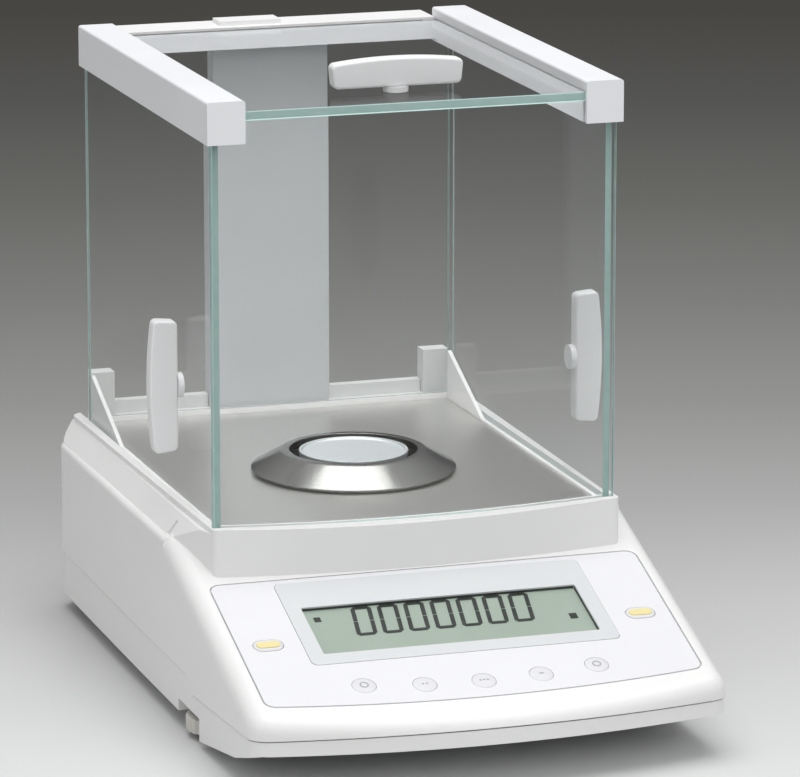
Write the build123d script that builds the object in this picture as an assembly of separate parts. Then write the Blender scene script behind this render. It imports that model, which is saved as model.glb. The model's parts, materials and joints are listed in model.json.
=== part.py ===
from build123d import *
import math
import os

# Laboratory microbalance: a white moulded case with a sloping display panel, and a square glass
# weighing chamber on top of it. Millimetres, +X right, +Z up, the display faces -Y. The origin is on
# the table under the middle of the case.

# Case
case_depth = 343.0
case_half = 105.6               # half width where the front corners begin
case_middle_taper = 0.7         # the sides draw in by this much half way back, and at the rear
case_rear_taper = 2.8
case_bow = 13.5                 # how far the front bulges between its corners
case_corner_radius = 10.0
case_rear_radius = 14.0
case_wall = 2.8
deck_top = 79.0                 # flat top of the case beside the chamber
deck_edge_radius = 2.4
shoulder_radius = 8.0           # rounding round the display panel
step_back = 149.5               # from the front of the case to the top of the sloping panel
step_rise = 2.5                 # the slope ends this far above the flat top
panel_angle = 19.07             # slope of the display panel, degrees
panel_down = 34.4               # from the step forward to where panel distances start
seam_rear_z = 27.5              # parting line between the upper case and the base
seam_front_low = 21.0
seam_front_high = 26.6
seam_jump = 35.0                # where the parting line drops, forward of the step
seam_jump_run = 9.0
seam_gap = 0.6
tongue_up = 3.0                 # lip of the base inside the upper case
tongue_down = 4.0
tongue_front = 21.5
base_inset = 0.5
base_bottom = 7.5
base_floor = 3.0
keel_bottom = 1.2               # lowest point of the front part of the base
keel_sweep = 11.5               # from this height the underside sweeps up more steeply
keel_sweep_back = 40.5          # and this far behind the front of the case
keel_front = 19.2
keel_run = 7.0
reach = 600.0                   # longer than the whole balance, for cuts that go right through

# Chamber tray
tray_margin = 7.9               # the tray is narrower than the case by this much on each side
tray_rise = 10.9                # its rim above the flat top of the case
tray_overhang = 35.5            # its front corners forward of the step
tray_front_bow = 4.5
tray_front_dip = 2.4            # its front rim is this much lower in the middle
tray_flare = 6.7
tray_flare_drop = 2.3
tray_flare_run = 3.5
tray_taper = 2.5                # the tray draws in by this much towards its front corners
tray_corner_radius = 3.0
tray_rear_radius = 6.0
tray_floor_drop = 6.3
tray_side_swell = 0.2           # bulge of its sides half way along
rear_lip_height = 6.0
rear_lip_depth = 5.5
notch_back = 6.0
notch_width = 2.4
notch_inset = 2.0
groove_depth = 2.8
glass_seat_depth = 1.5
well_inset = 22.9               # opening in the case and in the tray's underside, over the mechanism
well_front = 10.0
well_rear = 26.0
well_step = 2.0

# Weighing chamber
rail_inset = 1.7
rail_width = 16.8
rail_height = 18.5
rail_lift = 166.5               # underside of the rails above the rim of the tray
rail_setback = 2.0
rail_rear_gap = 16.5
rail_edge_radius = 1.2
glass_thickness = 3.0
front_glass_thickness = 4.0
front_glass_setback = 4.1
front_glass_reveal = 1.0
door_inset = 4.9
door_seat = 0.05                # a pane runs this far above the floor of its groove
door_front_gap = 0.5
door_rear_gap = 13.9
door_top_lap = 6.0
door_top_play = 1.8
slide_clearance = 0.4
top_glass_lift = 9.9
top_glass_thickness = 3.6
top_glass_lap = 3.8
top_tab = 8.0
top_tab_inset = 6.0
top_strip_height = 4.7
cap_left = -26.0
cap_right = 3.0
cap_front = 5.0
cap_rear = 4.0
cap_height = 2.0
rear_glass_gap = 12.1
rear_glass_side_gap = 0.8
column_half = 27.8
column_wall = 2.2
column_gap = 0.6
column_radius = 0.8
cover_thickness = 2.0
beam_depth = 21.5
beam_lift = 1.4
beam_lap = 4.0
corner_post_width = 12.4
corner_post_gap = 0.6
corner_post_height = 20.6
wing_thickness = 1.8
wing_shoulder_gap = 14.5
wing_foot_gap = 63.5
floor_plate_thickness = 1.5
floor_plate_drop = 2.4
floor_plate_inset = 10.5
floor_plate_front_gap = 1.5
floor_plate_rear_gap = 1.8
fit = 0.3                       # play of a part that is laid or slid in

# Door handles
handle_length = 59.5
handle_middle_depth = 12.6
handle_end_depth = 10.6
handle_thickness = 7.4
handle_lean = 1.0
handle_corner_radius = 2.4
handle_edge_radius = 1.2
handle_post_diameter = 11.0
handle_post_length = 2.4
side_handle_back = 52.9         # from the front pane
side_handle_up = 51.5           # from the rim of the tray
top_handle_back = 28.4

# Shield ring and weighing pan
pan_share = 0.42716             # the pan stands this far back in the depth of the chamber
ring_diameter = 92.0
ring_opening = 57.4
ring_edge = 2.0
ring_height = 10.0
ring_sheet = 1.2
ring_crown = 31.5
ring_shoulder = 1.5
ring_lip = 2.6
pan_diameter = 48.8
pan_sheet = 1.2
pan_rim_height = 0.8
pan_rim = 1.2
pan_stem_diameter = 6.0
pan_stem_length = 14.5
pan_hub_diameter = 12.0
pan_hole = 20.0
pan_drop = 0.4                  # pan face below the crown of the ring

# Display panel, distances down the slope
overlay_side_margin = 9.2
overlay_front_margin = 9.9
overlay_top = 7.4
overlay_bow = 6.6
overlay_radius = 4.5
overlay_gap = 0.8
overlay_recess = 1.6
frame_key_gap = 8.2             # the frame ends this far inside the wide keys
frame_top = 10.2
frame_bottom = 71.6
frame_radius = 3.0
frame_sheet = 1.0
frame_proud = 0.15
frame_gap = 0.2
window_frame_width = 6.9
window_top = 29.2
window_bottom = 64.2
window_radius = 1.0
lcd_thickness = 2.2
lcd_margin = 4.0
lcd_radius = 0.8
digit_count = 7
digit_pitch = 11.8
digit_first = -42.2             # lower left corner of the first figure
digit_top = 30.9
digit_height = 20.8
digit_width = 8.4
digit_stroke = 1.5
digit_split = 0.9
digit_slant = 8.0
digit_sheet = 0.12
unit_mark_inset = 7.2
unit_mark_down = 50.0
unit_mark_width = 3.4
unit_mark_height = 4.0
stability_mark_inset = 5.4
stability_mark_down = 36.6
stability_mark_width = 3.0
stability_mark_height = 3.4
key_travel = 0.7
key_proud = 0.5
key_gap = 0.3
key_cap_depth = 0.7
key_depth = 3.4
key_end_play = 0.05
key_shelf = 1.2                 # the film round a key rests on this much of the case
key_stem_gap = 0.4
wide_key_inset = 13.0
wide_key_down = 54.4
wide_key_length = 13.0
wide_key_width = 8.0
small_key_diameter = 10.0
small_key_bow = 4.1             # the outer small keys sit this much higher than the middle one
small_key_up = 4.5              # the middle one above the lower corners of the film
small_key_pitch = 25.8
small_key_count = 5
switch_height = 2.4
switch_size = 6.0
board_side_margin = 10.4
board_front_margin = 2.6
board_top = 22.0
board_radius = 2.0
board_thickness = 1.6
board_boss_diameter = 7.0
board_boss_inset = 6.0
board_boss_top = 8.0
board_boss_bottom = 5.0

# Feet
foot_inset = 15.0
foot_ahead = 38.0               # forward of the step
foot_wheel_diameter = 30.0
foot_wheel_height = 6.5
foot_wheel_bottom = 3.0
foot_ribs = 24
foot_rib_width = 2.0
foot_rib_offset = 0.3
foot_well_height = 5.5
foot_well_gap = 1.5
foot_roof = 3.0
foot_boss_wall = 3.5
foot_spindle_diameter = 8.0
foot_spindle_top = 21.0
foot_pad_diameter = 20.0
thread_play = 0.08              # radial play of a spindle or stem in its hole
rear_foot_inset = 18.8
rear_foot_gap = 23.5
rear_foot_diameter = 22.0
rear_foot_chamfer = 1.0

# Screws, sockets at the back, and boards
screw_diameter = 3.0
screw_head_diameter = 6.0
screw_head = 1.8
screw_grip = 9.0
screw_play = 0.2
thread_bite = 0.05
boss_diameter = 8.0
side_screw_inset = 9.8
side_screw_back = 18.0
side_screw_gap = 59.5
front_screw_inset = 13.6
front_screw_back = 36.0
front_screw_seat = 0.6
front_screw_land = 3.4
tray_screw_inset = 6.0
tray_screw_back = 24.0
tray_screw_gap = 31.5
jack_x = -58.0
jack_diameter = 12.0
jack_flange = 2.0
jack_length = 16.0
jack_bore = 6.4
jack_pin = 2.0
flange_thickness = 3.0
port_x = -18.0
port_half = 15.5
port_height = 12.0
port_length = 13.0
port_flange = 4.0
port_shell = 2.0
port_depth = 6.0
pin_diameter = 1.0
pin_pitch = 4.4
pin_row = 1.42
pin_length = 5.0
socket_z = 46.0
main_board_side_gap = 14.8
main_board_cell_gap = 8.0
main_board_front_gap = 145.5
main_board_rear_gap = 25.5
main_board_z = 20.0
spacer_diameter = 6.0
spacer_inset = 5.5
power_height = 22.0
power_length = 42.0
power_inset = 6.0

# Weighing mechanism
cell_half = 36.0
cell_lift = 8.5
cell_plate = 7.0
cell_front = 20.0
cell_rear_gap = 10.5            # between the frame of the weigh cell and the back of the case
cell_tower_share = 0.2537       # the tower's part of the depth behind the pan
cell_tower_drop = 4.0
mount_diameter = 9.0
mount_inset = 6.0
receiver_half = 16.0
receiver_depth = 14.0
receiver_height = 36.0
support_length = 20.5
support_diameter = 14.0
stud_diameter = 12.0
link_thickness = 1.6
link_half = 26.0
link_slot_half = 9.0
link_bridge = 4.0
link_lap = 14.0
lever_drop = 18.0
lever_width = 10.0
lever_height = 7.0
magnet_diameter = 34.0
magnet_height = 17.0
magnet_gap = 3.0
magnet_floor = 4.0
magnet_edge = 2.0
coil_diameter = 24.0
coil_wall = 2.5
coil_lift = 7.0
weight_diameter = 12.0
weight_drop = 7.4
weight_back = 16.0
lifter_half = 30.0
lifter_arm = 3.0
lifter_lift = 1.5
lifter_width = 18.0
motor_length = 23.0
motor_width = 22.0
motor_gap = 1.0
motor_height = 14.0
motor_shaft_diameter = 4.0
motor_shaft_height = 6.0

# Places that follow from the sizes above
deg = math.radians(panel_angle)
case_middle_half = case_half - case_middle_taper
case_rear_half = case_half - case_rear_taper
rear_y = case_depth / 2
front_y = -case_depth / 2
corner_y = front_y + case_bow
step_y = front_y + step_back
panel_y = step_y - panel_down
panel_z = deck_top + step_rise - panel_down * math.tan(deg)
seam_jump_y = step_y - seam_jump
keel_y = seam_jump_y - seam_jump_run
keel_sweep_y = front_y + keel_sweep_back
base_floor_top = base_bottom + base_floor
tray_half = case_rear_half - tray_margin
tray_front_half = tray_half - tray_taper
tray_top = deck_top + tray_rise
tray_front_corner = step_y - tray_overhang
tray_flare_half = tray_half + tray_flare
tray_flare_top = tray_top - tray_flare_drop
tray_flare_end = tray_front_corner + tray_flare_run
tray_floor_under = tray_top - tray_floor_drop
notch_y = step_y + notch_back
rail_half = tray_half - rail_inset
rail_inner = rail_half - rail_width
rail_bottom = tray_top + rail_lift
rail_top = rail_bottom + rail_height
rail_front = tray_front_corner + rail_setback
rail_rear = rear_y - rail_rear_gap
front_glass_y = tray_front_corner + front_glass_setback
front_glass_rear = front_glass_y + front_glass_thickness
door_outer = tray_half - door_inset
door_inner = door_outer - glass_thickness
door_front = front_glass_rear + door_front_gap
door_rear = rear_y - door_rear_gap
door_top = rail_bottom + door_top_lap
door_groove_top = door_top + door_top_play
front_glass_half = door_outer + front_glass_reveal
groove_inner = door_inner - slide_clearance
groove_outer = door_outer + slide_clearance
groove_floor = tray_top - groove_depth
door_bottom = groove_floor + door_seat
top_glass_bottom = rail_bottom + top_glass_lift
top_pane_top = top_glass_bottom + top_glass_thickness
top_glass_half = rail_inner + top_glass_lap
top_strip_top = top_glass_bottom + top_strip_height
rear_glass_y = rear_y - rear_glass_gap
rear_glass_rear = rear_glass_y + glass_thickness
rear_glass_half = door_inner - rear_glass_side_gap
column_front = rear_glass_rear + column_gap
beam_front = rear_y - beam_depth
beam_bottom = rail_bottom + beam_lift
beam_top = top_glass_bottom - door_seat
corner_post_outer = door_inner - corner_post_gap
corner_post_inner = corner_post_outer - corner_post_width
corner_post_top = tray_top + corner_post_height
wing_inner = corner_post_outer - wing_thickness
wing_shoulder_y = rear_y - wing_shoulder_gap
wing_foot_y = rear_y - wing_foot_gap
floor_plate_top = tray_top - floor_plate_drop
floor_plate_under = floor_plate_top - floor_plate_thickness
floor_plate_half = tray_half - floor_plate_inset
well_half = tray_half - well_inset
side_handle_y = front_glass_y + side_handle_back
side_handle_z = tray_top + side_handle_up
top_handle_y = front_glass_y + top_handle_back
pan_y = front_glass_y + pan_share * (rear_glass_y - front_glass_y)
pan_top = floor_plate_top + ring_height - pan_drop
overlay_half = case_half - overlay_side_margin
overlay_side = (panel_y - corner_y) / math.cos(deg) - overlay_front_margin
wide_key_x = overlay_half - wide_key_inset
small_key_down = overlay_side - small_key_up
frame_half = wide_key_x - wide_key_length / 2 - frame_key_gap
window_half = frame_half - window_frame_width
board_half = overlay_half - board_side_margin
board_bottom = overlay_side - board_front_margin
board_boss_x = board_half - board_boss_inset
board_boss_down = (board_top + board_boss_top, board_bottom - board_boss_bottom)
switch_depth = key_depth + key_travel + key_end_play
board_depth = switch_depth + switch_height
lcd_back = overlay_recess + lcd_thickness
foot_x = case_half - foot_inset
foot_y = step_y - foot_ahead
rear_foot_x = case_rear_half - rear_foot_inset
rear_foot_y = rear_y - rear_foot_gap
side_screw_x = case_rear_half - side_screw_inset
side_screw_y = (step_y + side_screw_back, rear_y - side_screw_gap)
front_screw_x = case_half - front_screw_inset
front_screw_y = corner_y + front_screw_back
keel_slope = (keel_sweep - keel_bottom) / (keel_y - keel_sweep_y)
front_head_z = keel_bottom + (keel_y - front_screw_y) * keel_slope + screw_head + front_screw_seat
front_boss_bottom = front_head_z + front_screw_land
boss_bottom = base_floor_top + fit
tray_screw_x = floor_plate_half - tray_screw_inset
tray_screw_y = (step_y + tray_screw_back, rear_y - tray_screw_gap)
cell_floor = base_bottom + cell_lift
plate_top = cell_floor + cell_plate
socket_top = floor_plate_top - floor_plate_thickness + fit
receiver_top = socket_top - support_length
stem_bottom = socket_top - pan_stem_length
cell_top = receiver_top - cell_tower_drop
receiver_bottom = cell_top - receiver_height
lever_z = cell_top - lever_drop
cell_back = rear_y - cell_rear_gap
magnet_y = cell_back - magnet_edge - magnet_diameter / 2
cell_rear = magnet_y - magnet_diameter / 2 - magnet_gap
tower_front = cell_rear - cell_tower_share * (rear_y - pan_y)
main_board_x = (main_board_side_gap - case_rear_half, -cell_half - main_board_cell_gap)
main_board_y = (rear_y - main_board_front_gap, rear_y - main_board_rear_gap)

parts = {}


def keep(name, shape):
    parts[name] = shape


def block(x0, x1, y0, y1, z0, z1):
    """A box from its two corners."""
    size = Box(x1 - x0, y1 - y0, z1 - z0)
    return Pos((x0 + x1) / 2, (y0 + y1) / 2, (z0 + z1) / 2) * size


def both_sides(shape):
    """A shape and its mirror image across the middle of the balance."""
    return shape + mirror(shape, about=Plane.YZ)


def disc(x, y, z0, z1, diameter):
    """An upright cylinder between two heights."""
    return Pos(x, y, (z0 + z1) / 2) * Cylinder(diameter / 2, z1 - z0)


def side_prism(points, x0, x1):
    """A shape with a side view in Y and Z, as wide as from x0 to x1."""
    wire = Polyline([(0, y, z) for y, z in points], close=True)
    return extrude(Pos(x0, 0, 0) * make_face(wire), x1 - x0, dir=(1, 0, 0))


def rounded_outline(half_width, y_back, y_corner, y_front, middle_half, rear_half, radii):
    """A plan outline with bowed front and sides, and its four corners rounded."""
    middle_y = (y_back + y_corner) / 2
    right = ThreePointArc((rear_half, y_back), (middle_half, middle_y), (half_width, y_corner))
    front = ThreePointArc((half_width, y_corner), (0, y_front), (-half_width, y_corner))
    left = ThreePointArc((-half_width, y_corner), (-middle_half, middle_y), (-rear_half, y_back))
    back = Line((-rear_half, y_back), (rear_half, y_back))
    face = make_face(right + front + left + back)
    front_points = face.vertices().filter_by(lambda v: v.Y < 0)
    face = fillet(front_points, radii[0])
    rear_points = face.vertices().filter_by(lambda v: v.Y > y_back - 0.01)
    return fillet(rear_points, radii[1])


def case_outline(inset):
    return rounded_outline(case_half - inset, rear_y - inset, corner_y + inset,
                           front_y + inset, case_middle_half - inset, case_rear_half - inset,
                           (case_corner_radius - inset, case_rear_radius - inset))


def plane_z(y, drop=0.0):
    """Height of the panel plane at a depth, lowered square to itself by a drop."""
    return panel_z + (y - panel_y) * math.tan(deg) - drop / math.cos(deg)


def case_solid(inset):
    """The outside of the upper case, or its hollow when it is inset by the wall."""
    prism = extrude(case_outline(inset), deck_top + step_rise)
    rear = prism & block(-reach, reach, step_y - inset, rear_y, 0, deck_top - inset)
    long_edges = rear.edges().filter_by(lambda e: e.center().Z > deck_top - inset - 0.01
                                        and abs(e.center().X) > case_half / 2)
    rear = fillet(long_edges, deck_edge_radius)
    wedge = side_prism([(front_y - 1, 0), (step_y - inset, 0),
                        (step_y - inset, plane_z(step_y - inset, inset)),
                        (front_y - 1, plane_z(front_y - 1, inset))], -reach, reach)
    front = prism & wedge
    rim = front.edges().filter_by(lambda e: e.center().Z > seam_front_low
                                  and abs(e.center().Y - (step_y - inset)) > 0.01)
    rim = rim.filter_by(lambda e: abs(e.center().Z - plane_z(e.center().Y, inset)) < 1.0)
    front = fillet(rim, shoulder_radius - inset)
    return rear + front


def seam_points(shift):
    """The parting line in side view, from the rear to the front, raised by a shift."""
    return [(rear_y + 2, seam_rear_z + shift), (seam_jump_y, seam_rear_z + shift),
            (seam_jump_y - seam_jump_run, seam_front_low + shift),
            (front_y - 2, seam_front_high + shift)]


def above_seam(shift):
    top = [(front_y - 2, reach), (rear_y + 2, reach)]
    return side_prism(seam_points(shift) + top, -reach, reach)


def below_seam(shift):
    bottom = [(front_y - 2, -reach), (rear_y + 2, -reach)]
    return side_prism(seam_points(shift) + bottom, -reach, reach)


def keel(shift):
    """Side view of the underside of the base, raised by a shift."""
    points = [(rear_y + 1, base_bottom + shift), (keel_y + keel_run, base_bottom + shift),
              (keel_y, keel_bottom + shift), (keel_sweep_y, keel_sweep + shift),
              (corner_y, keel_front + shift), (front_y - 1, keel_front + shift),
              (front_y - 1, reach), (rear_y + 1, reach)]
    return side_prism(points, -reach, reach)


# Panel frame: local X to the right, local Y up the slope, local Z out of the panel
panel_plane = Plane(origin=(0, panel_y, panel_z), x_dir=(1, 0, 0),
                    z_dir=(0, -math.sin(deg), math.cos(deg)))


def on_panel(shape):
    return panel_plane * shape


def panel_slab(face, out, inward):
    """A flat shape on the panel, from one depth outside the plane to one inside it."""
    return on_panel(Pos(0, 0, -inward) * extrude(face, out + inward))


def overlay_face(grow):
    half = overlay_half + grow
    top = -overlay_top + grow
    side = -overlay_side - grow
    middle = side - overlay_bow
    edge = (Line((-half, top), (half, top)) + Line((half, top), (half, side))
            + ThreePointArc((half, side), (0, middle), (-half, side)) + Line((-half, side), (-half, top)))
    face = make_face(edge)
    return fillet(face.vertices(), overlay_radius + grow)


def panel_rectangle(half, down_top, down_bottom, radius):
    height = down_bottom - down_top
    return Pos(0, -(down_top + down_bottom) / 2) * RectangleRounded(2 * half, height, radius)


def small_key_spot(index):
    """Middle of one of the small keys on the panel."""
    outermost = (small_key_count - 1) / 2
    offset = index - outermost
    down = small_key_down - small_key_bow * (offset / outermost) ** 2
    return offset * small_key_pitch, -down


def wide_key_face(side, grow):
    width = wide_key_width + 2 * grow
    length = wide_key_length + 2 * grow
    return Pos(side * wide_key_x, -wide_key_down) * SlotOverall(length, width)


# Housing of the display and the mechanism, moulded in one piece and open underneath
outer = case_solid(0)
housing = outer - case_solid(case_wall)
housing &= above_seam(0)
housing -= panel_slab(overlay_face(overlay_gap), case_wall, overlay_recess)
window_recess = panel_rectangle(window_half + lcd_margin + fit, window_top - lcd_margin - fit,
                                window_bottom + lcd_margin + fit, window_radius)
housing -= panel_slab(window_recess, case_wall, 2 * case_wall)
for index in range(small_key_count):
    x, y = small_key_spot(index)
    housing -= panel_slab(Pos(x, y) * Circle(small_key_diameter / 2 - key_shelf), 0, 2 * case_wall)
for side in (-1, 1):
    housing -= panel_slab(wide_key_face(side, -key_shelf), 0, 2 * case_wall)
housing -= block(-well_half, well_half, step_y + well_front - well_step, rear_y - well_rear + well_step,
                 deck_top - 2 * case_wall, deck_top + step_rise)
posts = both_sides(disc(side_screw_x, side_screw_y[0], boss_bottom, deck_top, boss_diameter))
posts += both_sides(disc(side_screw_x, side_screw_y[1], boss_bottom, deck_top, boss_diameter))
posts += both_sides(disc(front_screw_x, front_screw_y, front_boss_bottom, deck_top, boss_diameter))
for y in tray_screw_y:
    posts += both_sides(disc(tray_screw_x, y, deck_top - screw_grip, deck_top, boss_diameter))
for down in board_boss_down:
    spot = Pos(board_boss_x, -down) * Circle(board_boss_diameter / 2)
    posts += both_sides(panel_slab(spot, -overlay_recess, board_depth))
housing += posts & case_solid((overlay_recess + case_wall) / 2)
for y in side_screw_y:
    housing -= both_sides(disc(side_screw_x, y, 0, boss_bottom + screw_grip,
                               screw_diameter + 2 * thread_bite))
housing -= both_sides(disc(front_screw_x, front_screw_y, 0, front_boss_bottom + screw_grip,
                           screw_diameter + 2 * thread_bite))
for y in tray_screw_y:
    housing -= both_sides(disc(tray_screw_x, y, 0, reach, screw_diameter + 2 * thread_bite))
housing -= Pos(jack_x, rear_y, socket_z) * Rot(90, 0, 0) * Cylinder(jack_diameter / 2 + fit, 4 * case_wall)
housing -= block(port_x - port_half - fit, port_x + port_half + fit, rear_y - 2 * case_wall, rear_y + 1,
                 socket_z - port_height / 2 - fit, socket_z + port_height / 2 + fit)
keep("upper_housing", housing)

def foot_recess(side, bottom, top, size):
    """A round space about a levelling foot, open to the side of the case where the wheel is turned."""
    mouth = block(foot_x, reach, foot_y - size / 2, foot_y + size / 2, bottom, top)
    space = disc(foot_x, foot_y, bottom, top, size) + mouth
    return space if side > 0 else mirror(space, about=Plane.YZ)


# Base that carries the mechanism and the feet
base = extrude(case_outline(base_inset), deck_top) & below_seam(-seam_gap) & keel(0)
hollow = extrude(case_outline(base_inset + case_wall), deck_top) & keel(base_floor)
tongue = extrude(case_outline(case_wall + fit), deck_top)
tongue -= extrude(case_outline(2 * case_wall + fit), deck_top)
tongue = tongue & below_seam(tongue_up) & above_seam(-tongue_down)
tongue = tongue & block(-reach, reach, front_y + tongue_front, rear_y, 0, deck_top)
base = base - hollow + tongue
for side in (-1, 1):
    window_top_z = base_bottom + foot_well_height
    window_size = foot_wheel_diameter + 2 * foot_well_gap
    window = foot_recess(side, -1, window_top_z, window_size)
    roof = foot_recess(side, base_floor_top - base_floor / 2, window_top_z + foot_roof,
                       window_size + 2 * foot_roof)
    base = base + (roof & extrude(case_outline(base_inset + case_wall / 2), deck_top)) - window
    boss = disc(side * foot_x, foot_y, window_top_z, foot_spindle_top - 1,
                foot_spindle_diameter + 2 * foot_boss_wall)
    base = base + boss - disc(side * foot_x, foot_y, 0, deck_top, foot_spindle_diameter + 2 * thread_play)
for y in side_screw_y:
    base -= both_sides(disc(side_screw_x, y, 0, deck_top, screw_diameter + 2 * screw_play))
    base -= both_sides(disc(side_screw_x, y, 0, base_bottom + screw_head,
                            screw_head_diameter + 2 * screw_play))
base += both_sides(disc(front_screw_x, front_screw_y, front_head_z, front_boss_bottom - fit,
                        screw_head_diameter + 2 * foot_roof))
base -= both_sides(disc(front_screw_x, front_screw_y, 0, deck_top, screw_diameter + 2 * screw_play))
base -= both_sides(disc(front_screw_x, front_screw_y, 0, front_head_z, screw_head_diameter + 2 * screw_play))
for x in (main_board_x[0] + spacer_inset, main_board_x[1] - spacer_inset):
    for y in (main_board_y[0] + spacer_inset, main_board_y[1] - spacer_inset):
        base += disc(x, y, base_floor_top - base_floor / 2, main_board_z, spacer_diameter)
keep("base_pan", base)

# Tray on which the glass chamber stands
outline = rounded_outline(tray_front_half, rear_y, tray_front_corner, tray_front_corner - tray_front_bow,
                          (tray_half + tray_front_half) / 2 + tray_side_swell, tray_half,
                          (tray_corner_radius, tray_rear_radius))
tray = extrude(outline, tray_top)
flare_line = [(-tray_flare_half, deck_top), (tray_flare_half, deck_top), (tray_half, tray_flare_top),
              (-tray_half, tray_flare_top)]
flare_face = make_face(Polyline([(x, 0, z) for x, z in flare_line], close=True))
flare = extrude(Pos(0, rear_y, 0) * flare_face, case_depth, dir=(0, -1, 0))
flare += block(-tray_flare_half, tray_flare_half, front_y, rear_y, deck_top / 2, deck_top)
flare_plan = make_face(Polyline([(tray_flare_half, rear_y), (tray_flare_half, step_y),
                                 (tray_front_half, tray_flare_end), (-tray_front_half, tray_flare_end),
                                 (-tray_flare_half, step_y), (-tray_flare_half, rear_y)], close=True))
flare &= extrude(flare_plan, reach) & extrude(case_outline(case_rear_half - tray_flare_half), reach)
tray = (tray + flare) - outer
tray &= block(-reach, reach, front_y, step_y, deck_top / 2, reach) + block(-reach, reach, step_y, rear_y,
                                                                          deck_top, reach)
floor_front = door_front + floor_plate_front_gap
floor_rear = rear_glass_y - floor_plate_rear_gap
recess_front = floor_front - fit
tray -= block(-floor_plate_half - fit, floor_plate_half + fit, recess_front, floor_rear + fit,
              floor_plate_under, reach)
tray -= block(-well_half + well_step, well_half - well_step, step_y + well_front, rear_y - well_rear,
              deck_top / 2, tray_floor_under)
for y in tray_screw_y:
    tray -= both_sides(disc(tray_screw_x, y, 0, reach, screw_diameter + 2 * screw_play))
    tray -= both_sides(disc(tray_screw_x, y, floor_plate_under - screw_head, reach,
                            screw_head_diameter + 2 * screw_play))
tray -= disc(0, pan_y, 0, reach, pan_hole)
lip_half = floor_plate_half + fit
inner_lip = block(lip_half, groove_inner, recess_front, floor_rear, tray_top - glass_seat_depth, reach)
tray -= both_sides(inner_lip)
dip_line = ThreePointArc((-groove_inner, tray_top), (0, tray_top - tray_front_dip), (groove_inner, tray_top))
dip = Plane.XZ * make_face(dip_line + Line((groove_inner, tray_top), (-groove_inner, tray_top)))
tray -= extrude(Pos(0, recess_front, 0) * dip, case_depth, dir=(0, -1, 0))
tray -= both_sides(block(groove_inner, groove_outer, front_glass_rear, rear_y + 1, groove_floor, reach))
tray -= block(-front_glass_half - fit, front_glass_half + fit, front_glass_y - fit / 2,
              front_glass_rear + fit / 2, groove_floor, reach)
tray -= block(-groove_inner, groove_inner, rear_glass_y - fit / 2, rear_glass_rear + fit / 2,
              tray_top - glass_seat_depth, reach)
lip = block(column_half + fit, corner_post_inner - fit, rear_y - rear_lip_depth, rear_y,
            tray_top, tray_top + rear_lip_height)
tray += both_sides(lip)
notch = block(tray_half + notch_inset, reach, notch_y - notch_width, notch_y, deck_top, tray_top)
tray -= both_sides(notch)
keep("chamber_tray", tray)

plate = block(-floor_plate_half, floor_plate_half, floor_front, floor_rear, floor_plate_under,
              floor_plate_top)
keep("floor_plate", plate - disc(0, pan_y, 0, reach, pan_hole + 2 * fit))

# Corner posts that hold the rear glass, and the wings on the inner lip that guide the side doors
post = block(corner_post_inner, corner_post_outer, column_front, rear_y, tray_top, corner_post_top)
wing_foot_z = tray_top - glass_seat_depth
wing = side_prism([(floor_rear, wing_foot_z), (floor_rear, corner_post_top),
                   (wing_shoulder_y, corner_post_top), (wing_foot_y, wing_foot_z)],
                  wing_inner, corner_post_outer)
keep("right_corner_post", post)
keep("left_corner_post", mirror(post, about=Plane.YZ))
keep("right_door_guide", wing)
keep("left_door_guide", mirror(wing, about=Plane.YZ))

# Panes of the chamber
keep("front_glass", block(-front_glass_half, front_glass_half, front_glass_y, front_glass_rear,
                          groove_floor, top_glass_bottom - door_seat))
keep("rear_glass", block(-rear_glass_half, rear_glass_half, rear_glass_y, rear_glass_rear,
                         tray_top - glass_seat_depth, beam_bottom + beam_lap))


def handle_solid():
    """A handle lying on the XY plane: a bar with a bowed back, on a short round post."""
    half = handle_length / 2
    base_line = handle_post_length
    back = ThreePointArc((-half, base_line + handle_end_depth), (0, base_line + handle_middle_depth),
                         (half, base_line + handle_end_depth))
    bar_line = (back + Line((half, base_line + handle_end_depth), (half - handle_lean, base_line))
                + Line((half - handle_lean, base_line), (-half + handle_lean, base_line))
                + Line((-half + handle_lean, base_line), (-half, base_line + handle_end_depth)))
    bar_face = make_face(bar_line)
    bar_face = fillet(bar_face.vertices(), handle_corner_radius)
    bar = extrude(Pos(0, 0, -handle_thickness / 2) * bar_face, handle_thickness)
    rims = bar.edges().filter_by(lambda e: abs(abs(e.center().Z) - handle_thickness / 2) < 0.01)
    bar = fillet(rims, handle_edge_radius)
    stem = Rot(90, 0, 0) * Cylinder(handle_post_diameter / 2, handle_post_length)
    return bar + Pos(0, handle_post_length / 2, 0) * stem


side_pane = block(door_inner, door_outer, door_front, door_rear, door_bottom, door_top)
upright = Plane(origin=(door_outer, side_handle_y, side_handle_z), x_dir=(0, 0, 1), z_dir=(0, 1, 0))
side_handle = upright * handle_solid()
top_handle = Pos(0, top_handle_y, top_pane_top) * Rot(90, 0, 0) * handle_solid()
keep("right_door_glass", side_pane)
keep("left_door_glass", mirror(side_pane, about=Plane.YZ))
keep("right_door_handle", side_handle)
keep("left_door_handle", mirror(side_handle, about=Plane.YZ))
keep("top_door_handle", top_handle)
strip_half = rail_inner - slide_clearance
top_pane = block(-top_glass_half, top_glass_half, front_glass_y + fit, beam_front, top_glass_bottom,
                 top_pane_top)
tab = block(-strip_half + top_tab_inset, strip_half - top_tab_inset, beam_front, beam_front + top_tab,
            top_glass_bottom, top_pane_top)
top_pane += tab
keep("top_door_glass", top_pane)
strip = block(-strip_half, strip_half, beam_front, rear_y, top_glass_bottom, top_strip_top)
cap = block(cap_left, cap_right, beam_front + cap_front, rear_y - cap_rear, top_strip_top,
            top_strip_top + cap_height)
keep("top_door_end_strip", strip + cap - tab)

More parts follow.
